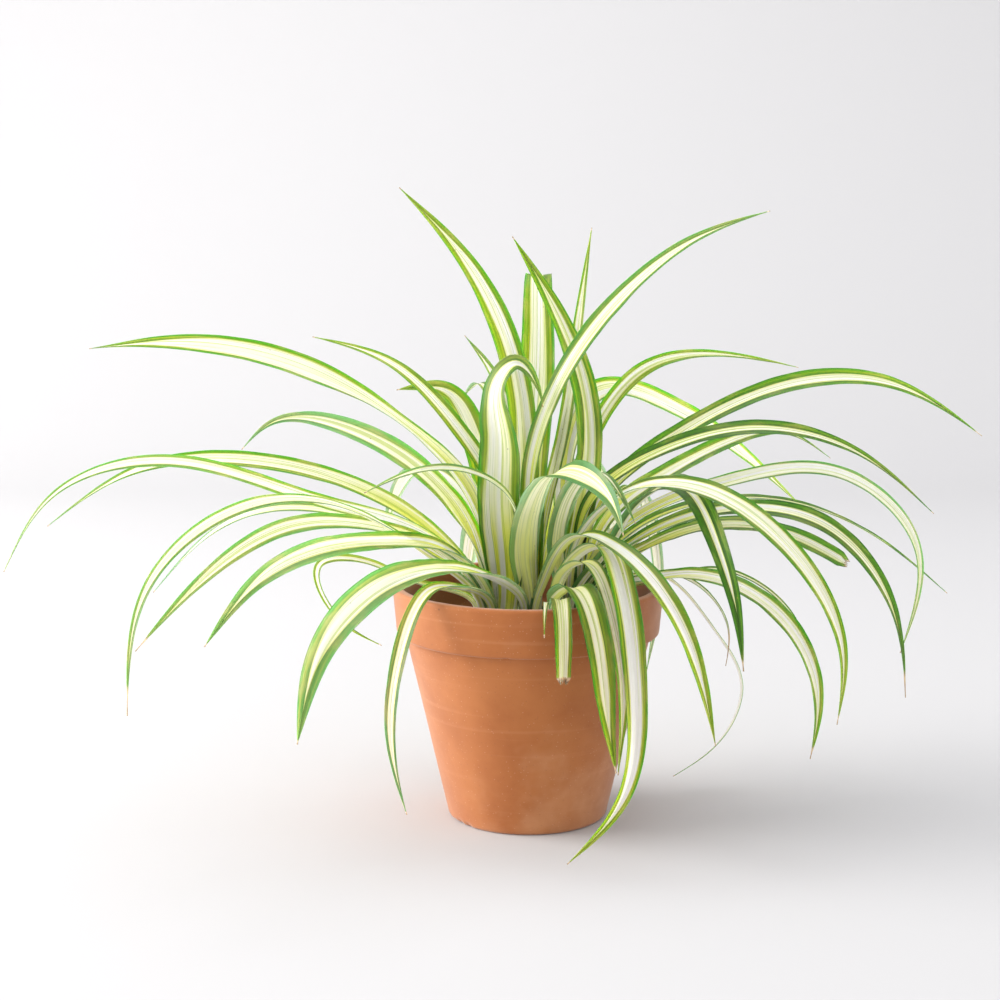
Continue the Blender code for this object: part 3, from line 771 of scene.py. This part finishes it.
def smooth_course(points, count):
    """Points at even steps along the natural cubic spline through the given points, and its length."""
    points = np.asarray(points, float)
    steps = np.linalg.norm(np.diff(points, axis=0), axis=1)
    knots = np.concatenate([[0.0], np.cumsum(steps)])
    size = len(points)
    system = np.eye(size)
    target = np.zeros_like(points)
    for i in range(1, size - 1):
        before, after = steps[i - 1], steps[i]
        system[i, i - 1 : i + 2] = before, 2 * (before + after), after
        target[i] = 6 * ((points[i + 1] - points[i]) / after - (points[i] - points[i - 1]) / before)
    bend = np.linalg.solve(system, target)
    places = np.linspace(0, knots[-1], 6 * count)
    i = np.clip(np.searchsorted(knots, places) - 1, 0, size - 2)
    h = steps[i][:, None]
    a = (knots[i + 1] - places)[:, None]
    b = (places - knots[i])[:, None]
    fine = bend[i] * a**3 / (6 * h) + bend[i + 1] * b**3 / (6 * h)
    fine += (points[i] / h - bend[i] * h / 6) * a + (points[i + 1] / h - bend[i + 1] * h / 6) * b
    length = np.concatenate([[0.0], np.cumsum(np.linalg.norm(np.diff(fine, axis=0), axis=1))])
    even = np.linspace(0, length[-1], count)
    return np.stack([np.interp(even, length, fine[:, k]) for k in range(3)], axis=1), length[-1]


def heading_axes(heading):
    """The level directions ahead and to the left of a heading in degrees."""
    angle = math.radians(heading)
    forward = np.array([math.cos(angle), math.sin(angle), 0.0])
    left = np.array([-math.sin(angle), math.cos(angle), 0.0])
    return forward, left


def foot_reaches(stem, leaves):
    """How far each foot is from its stem's middle."""
    def feet_at(heading, reach):
        forward, left = heading_axes(heading)
        middle = np.array([*stem, 0.0]) + forward * reach
        return [middle + left * FOOT_WIDTH * k for k in (-0.5, -0.25, 0, 0.25, 0.5)]

    def steepness(leaf):
        reach, height, *_ = leaf[4][0]
        return math.atan2(height * MM - FOOT_HEIGHT, abs(reach) * MM)

    placed, reaches = [], {}
    for name, heading, *_ in sorted(leaves, key=steepness, reverse=True):
        reach = FIRST_FOOT_REACH
        while any(np.linalg.norm(a - b) < FOOT_CLEAR for a in feet_at(heading, reach) for b in placed):
            reach += FOOT_STEP
        placed += feet_at(heading, reach)
        reaches[name] = reach
    return reaches


def leaf_course(stem, foot_reach, heading, course):
    """The midrib from the foot, up its short sheath and along the leaf's course, and its length."""
    forward, left = heading_axes(heading)
    stem = np.array([*stem, 0.0])
    foot = stem + forward * foot_reach + np.array([0, 0, FOOT_HEIGHT])
    points = [foot, foot + forward * SHEATH_LEAN + np.array([0, 0, SHEATH_HEIGHT])]
    for reach, height, *swing in course:
        side = swing[0] if swing else 0
        points.append(stem + forward * reach * MM + left * side * MM + np.array([0, 0, height * MM]))
    return smooth_course(points, STATIONS)


# %% [markdown]
# How wide a blade is and how its face turns change along it, so each is a function of t, which goes from 0
# at the foot to 1 at the tip. A leaf that has lost its tip keeps more of its width to the end.

# %% Widths, turns and waves along a blade
TIP_WIDTH = 0.7 * MM


def smooth_step(x):
    x = np.clip(x, 0, 1)
    return x * x * (3 - 2 * x)


def blade_widths(width, look, t):
    """The width along the leaf, from its foot to its tip."""
    foot = min(look["foot"] * MM, width)
    opened = foot + (width - foot) * smooth_step(t / look["full"])
    narrowing = np.clip((t - look["taper"]) / (1 - look["taper"]), 0, 1)
    if look["end"] == "blunt":
        left_over = 1 - 0.45 * narrowing**2
        left_over *= np.sqrt(np.clip((1.004 - t) / 0.03, 0, 1))
    elif look["end"] == "torn":
        left_over = 1 - 0.3 * narrowing**2
        left_over *= np.clip((1.01 - t) / 0.035, 0, 1) ** 0.6
    else:
        left_over = 1 - narrowing**1.9
    return np.maximum(opened * left_over, TIP_WIDTH)


def blade_turns(turns, t):
    """The turn of the blade's face at each cross-section, in radians."""
    along = t * (len(turns) - 1)
    i = np.minimum(along.astype(int), len(turns) - 2)
    turns = np.radians(turns)
    return turns[i] + (turns[i + 1] - turns[i]) * smooth_step(along - i)


def slow_wave(t, cycles, rng):
    """A gentle uneven wave along the leaf, between about -1 and 1."""
    total = np.zeros_like(t)
    for k in range(1, 5):
        total += np.sin(math.tau * (t * cycles * k / 2 + rng.uniform())) * rng.uniform(0.3, 1) / k
    return total / 1.6


# %% [markdown]
# A cross-section is a shallow V with rounded ribs, thick at the midrib and thin at the margins. Here t is a
# column of stations and s a row of places from margin to margin, so one line of arithmetic on them gives a
# whole sheet of heights. Real ribs, not only bump, catch the light along the leaf.

# %% Shape a blade
RIBS = 5  # on each half of the blade
RIB_HEIGHT = 0.055 * MM
RIB_WIDTH = 6 * MM  # narrower blades have lower ribs
KEEL_DEPTH = 0.25 * MM
KEEL_WIDTH = 8 * MM  # narrower blades have a shallower keel
MARGIN_THICKNESS = 0.16 * MM
MIDRIB_THICKNESS = 0.75 * MM
CHANNEL = 0.105  # how deep the blade's channel is, as a share of its width
CHANNEL_CHANGE = 0.04
FOOT_FOLD = 0.30  # how much deeper it is at the foot
MARGIN_WAVE = 0.035
SWAY = 0.03
TWIST = np.radians(5)
TEAR = 1.6 * MM
SHORTENED = 0.7  # how much of its full length is left of a leaf that has lost its tip


def blade_points(centre, length, heading, width, turns, look, rng):
    """The upper and lower skins of a blade, and the numbers its finish needs at each point."""
    t = np.linspace(0, 1, STATIONS)[:, None]
    s = np.linspace(-1, 1, ACROSS)[None, :]
    out = np.abs(s)
    along = np.gradient(centre, axis=0)
    along /= np.linalg.norm(along, axis=1)[:, None]
    level = heading_axes(heading)[1]
    side = level - (along @ level)[:, None] * along
    side /= np.linalg.norm(side, axis=1)[:, None]
    face = np.cross(along, side)
    turn = blade_turns(turns, t) + TWIST * slow_wave(t, 3, rng) * t
    side, face = side * np.cos(turn) + face * np.sin(turn), face * np.cos(turn) - side * np.sin(turn)

    widths = blade_widths(width * MM, look, t)
    fold = FOOT_FOLD * (1 - smooth_step(t / 0.45)) + CHANNEL + CHANNEL_CHANGE * slow_wave(t, 2, rng)
    lift = widths * fold * out**1.35
    one_margin, other_margin = slow_wave(t, 9, rng), slow_wave(t, 9, rng)
    ripple = widths * MARGIN_WAVE * np.where(s > 0, one_margin, other_margin) * out**2 * smooth_step(t / 0.3)
    ribs = RIB_HEIGHT * np.cos(out * math.tau * RIBS) * np.minimum(widths / RIB_WIDTH, 1)
    keel = -KEEL_DEPTH * np.exp(-((s / 0.12) ** 2)) * np.minimum(widths / KEEL_WIDTH, 1)
    thick = MARGIN_THICKNESS + (MIDRIB_THICKNESS - MARGIN_THICKNESS) * (1 - out) ** 1.5
    thick = np.minimum(thick * (1 - 0.5 * t), widths * 0.4)
    sway = 1 + SWAY * slow_wave(t, 6, rng) * smooth_step(t / 0.2)

    middle = centre[:, None, :] + side[:, None, :] * (s * (widths * sway / 2))[:, :, None]
    upper = middle + face[:, None, :] * (lift + ripple + ribs + keel)[:, :, None]
    lower = middle + face[:, None, :] * (lift + ripple - ribs * 0.6 + keel - thick)[:, :, None]
    if look["end"] == "torn":
        teeth = rng.uniform(-1, 1, ACROSS) * TEAR * smooth_step((t - 0.96) / 0.04)
        upper += along[:, None, :] * teeth[:, :, None]
        lower += along[:, None, :] * teeth[:, :, None]

    whole = 1.0 if look["end"] == "point" else SHORTENED
    from_tip = (1 - t) * length / MM
    numbers = {
        "across": s,
        "along": t * whole,
        "half_width": s * widths / 2 / MM,
        "distance": t * length / MM,
        "dryness": smooth_step(1 - from_tip / max(look["dry"] * 1.6, 0.5)),
    }
    return upper, lower, {key: np.broadcast_to(values, (STATIONS, ACROSS)) for key, values in numbers.items()}


# %% [markdown]
# A blade's colours run along it. The middle is cream and the margins are green, and the border between them
# wanders a little. A painted image could show that, but a rule drawn in the blade's own measures, across and
# along, which are stored on its points, gives every leaf its own stripes. The leaf's number moves the noise,
# so no two leaves are alike. Near the foot nearly all is cream, and towards the tip nearly all is green.

# %% Find where a blade is green
leaf = Finish("striped_leaf", roughness=0.4, specular=0.22)
across = leaf.measure("across")
along = leaf.measure("along")
half_width = leaf.measure("half_width")
distance = leaf.measure("distance")
shift = leaf.times(leaf.measure("leaf_number"), 7.3)


def wandering(offset, detail, reach):
    """A slow drift along the leaf, to either side of zero."""
    at = leaf.joined(leaf.times(distance, 0.010), leaf.math("ADD", shift, offset))
    return leaf.times(leaf.math("SUBTRACT", leaf.noise(at, 1.0, detail), 0.5), reach)


border = leaf.math("ADD", leaf.measure("cream"), wandering(0.0, detail=2, reach=0.3))
border = leaf.math("ADD", border, leaf.rise(along, 0.55, 0.1, 0, 0.26))
border = leaf.math("SUBTRACT", border, leaf.rise(along, 0.74, 1.0, 0, 0.62))
moved = leaf.math("ADD", across, wandering(3.7, detail=1, reach=0.55))
past = leaf.math("SUBTRACT", leaf.math("ABSOLUTE", moved), border)
green = leaf.rise(past, -0.02, 0.04)
halo = leaf.rise(past, -0.15, -0.02, 0, 0.85)
print("stripes:", len(leaf.nodes), "nodes")

# %% [markdown]
# Within the stripes finer streaks run the length of the blade: bands of white and lime in the cream, thin
# lines of green, and hairs. Each is one noise, stretched along the blade. Near the foot the leaf is young,
# and both its cream and its green are yellower. The margin itself is a dark rim.

# %% Colour the upper side
def streaks(side, fineness, run, detail=2.0, rough=0.5):
    """Noise drawn out along the blade: the smaller run is beside fineness, the longer the streaks."""
    at = leaf.joined(leaf.times(side, fineness), leaf.times(distance, run), shift)
    return leaf.noise(at, 1.0, detail, rough)


# How dark each leaf's green is: partly its own darker green, partly painted shade on leaves that lie away
# from the window.
deep = leaf.measure("deep")
bands = streaks(across, 2.6, 0.004, detail=1)
lines = streaks(across, 8.0, 0.005, detail=3, rough=0.6)
hairs = streaks(across, 24.0, 0.01)
young = leaf.rise(along, 0.52, 0.08)

white = leaf.blend(leaf.measure("pale"), paint(250, 247, 230), paint(252, 252, 246))
lime = leaf.blend(young, paint(228, 234, 112), paint(222, 228, 58))
limes = leaf.times(leaf.rise(bands, 0.42, 0.52), leaf.rise(young, 0, 0.7, 0.42, 1.0))
cream = leaf.blend(limes, white, lime)
cream = leaf.blend(halo, cream, leaf.blend(young, paint(212, 216, 88), paint(206, 214, 50)))
cream = leaf.layer(cream, lines, 0.53, 0.58, 0.7, paint(150, 174, 42))
cream = leaf.layer(cream, hairs, 0.56, 0.66, 0.22, paint(172, 184, 86))

fresh = leaf.blend(young, paint(48, 88, 2), paint(80, 124, 2))
line_green = leaf.blend(deep, paint(114, 160, 14), paint(52, 92, 10))
rim_green = leaf.blend(deep, paint(18, 60, 4), paint(8, 28, 3))
band = leaf.blend(deep, fresh, paint(21, 46, 3))
band = leaf.layer(band, lines, 0.5, 0.6, 0.5, line_green)
band = leaf.layer(band, leaf.math("ABSOLUTE", across), 0.74, 0.9, 0.85, rim_green)
# Painted sheen: the outer half of some leaves gets a duller bluish green, standing in for light glancing off
# their faces.
painted_sheen_share = leaf.times(leaf.measure("cool"), leaf.rise(along, 0.3, 0.75))
band = leaf.blend(painted_sheen_share, band, paint(38, 86, 36))
upper_tone = leaf.layer(leaf.blend(green, cream, band), along, 0.08, 0.0, 0.4, paint(226, 231, 170))
print("upper side:", len(leaf.nodes), "nodes")

# %% [markdown]
# The underside has the same stripes in a softer, bluer green. A few small blotches and brown specks come
# with age, and the tip dries to brown with a ragged border.

# %% Colour the underside, the marks and the dry tip
under = leaf.measure("underside")
lower_cream = leaf.blend(0.4, cream, paint(248, 247, 216))
lower_green = leaf.blend(deep, paint(62, 130, 62), paint(40, 84, 40))
lower_tone = leaf.blend(green, lower_cream, lower_green)
tone = leaf.blend(leaf.times(under, 0.7), upper_tone, lower_tone)
tone = leaf.layer(tone, streaks(half_width, 0.25, 0.06, detail=3), 0.45, 0.7, 0.04, paint(206, 216, 110))

dryness = leaf.measure("dryness")
ragged = leaf.math("SUBTRACT", streaks(half_width, 0.9, 0.25, detail=3), 0.5)
dry = leaf.rise(leaf.math("ADD", dryness, leaf.times(ragged, 0.5)), 0.25, 0.6)
brown = leaf.blend(leaf.rise(dryness, 0.5, 1.0), paint(188, 150, 98), paint(112, 74, 46))
tone = leaf.blend(dry, tone, brown)
specks = leaf.spots(leaf.joined(leaf.times(half_width, 0.2), leaf.times(distance, 0.12), shift), 1.0)
speckled = leaf.times(leaf.rise(specks, 0.06, 0.035), leaf.rise(bands, 0.45, 0.6, 0, 0.85))
leaf.colour(leaf.blend(speckled, tone, paint(88, 76, 30)))
print("both sides:", len(leaf.nodes), "nodes")

# %% [markdown]
# A leaf is waxy: a soft gloss above, duller beneath and dull where it is dry. Cells and fine veins are far
# smaller than the ribs, so bump gives them. A little light passes through a leaf, which a thin layer of
# subsurface scattering gives.

# %% Give it its skin
UPPER_GLOSS = (0.38, 0.38, 0.38, 1)
LOWER_GLOSS = (0.5, 0.5, 0.5, 1)
DRY_GLOSS = (0.8, 0.8, 0.8, 1)
leaf.roughness(leaf.blend(dry, leaf.blend(under, UPPER_GLOSS, LOWER_GLOSS), DRY_GLOSS))
cells = streaks(half_width, 14, 2.2)
veins = streaks(half_width, 5.5, 0.03, detail=1)
skin = leaf.bump(cells, 0.03 * MM, 0.6)
leaf.normal(leaf.bump(veins, 0.11 * MM, 0.7, under=skin))
LEAF_SURFACE = {
    "Sheen Weight": 0.02,
    "Sheen Roughness": 0.35,
    "Sheen Tint": (0.62, 0.95, 0.8, 1),
    "Coat Weight": 0.06,
    "Coat Roughness": 0.3,
    "Subsurface Weight": 0.8,
    "Subsurface Radius": (1.0, 1.0, 0.9),
    "Subsurface Scale": 3 * MM,
}
for socket_name, value in LEAF_SURFACE.items():
    leaf.shader.inputs[socket_name].default_value = value
print("leaf finish:", len(leaf.nodes), "nodes")

# %% [markdown]
# A blade is closed: its upper and lower skins are joined by a wall along both margins and at both ends. All
# blades have the same grid of points, so one list of faces serves them all. Each then stores the measures
# and the look that its finish reads.

# %% Grow the leaves
HALF = STATIONS * ACROSS  # points on one skin
FIRST_SEED = 100


def blade_faces():
    """The faces of a closed blade whose upper skin's points come first."""
    skin = grid_faces(STATIONS, ACROSS)
    faces = [face[::-1] for face in skin]
    faces += [tuple(HALF + k for k in face) for face in skin]
    for i in range(STATIONS - 1):
        for j in (0, ACROSS - 1):
            a, b = i * ACROSS + j, (i + 1) * ACROSS + j
            wall = (a, b, HALF + b, HALF + a)
            faces.append(wall if j == 0 else wall[::-1])
    for i in (0, STATIONS - 1):
        first = i * ACROSS
        for j in range(ACROSS - 1):
            wall = (first + j, first + j + 1, HALF + first + j + 1, HALF + first + j)
            faces.append(wall[::-1] if i == 0 else wall)
    return faces


def store(mesh, name, values):
    """Keeps one number for each of the mesh's points, for its material to read."""
    mesh.attributes.new(name, "FLOAT", "POINT").data.foreach_set("value", values.astype(np.float32))


def grow_leaf(number, name, heading, width, turns, course, look, stem, foot_reach):
    """One leaf as a closed blade, with its measures stored on its points."""
    look = {**PLAIN, **look}
    centre, length = leaf_course(stem, foot_reach, heading, course)
    rng = np.random.default_rng(FIRST_SEED + number)
    upper, lower, numbers = blade_points(centre, length, heading, width, turns, look, rng)
    points = np.concatenate([upper.reshape(-1, 3), lower.reshape(-1, 3)])
    piece = new_piece("blade_" + name, points, FACES, leaf.material)
    for key, values in numbers.items():
        store(piece.data, key, np.tile(values.ravel(), 2))
    store(piece.data, "underside", np.repeat([0, 1], HALF))
    store(piece.data, "leaf_number", np.full(2 * HALF, number))
    for key in ("cream", "deep", "pale", "cool"):
        store(piece.data, key, np.full(2 * HALF, look[key]))
    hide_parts(name)
    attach(piece, "root")
    return length


FACES = blade_faces()
lengths = []
for crown_name, leaves in LEAVES.items():
    stem = CROWNS[crown_name]
    reaches = foot_reaches(stem, leaves)
    for name, *shape in leaves:
        lengths.append(grow_leaf(len(lengths) + 1, name, *shape, stem, reaches[name]))
print("grew", len(lengths), "leaves, the longest", round(max(lengths) / MM), "mm")
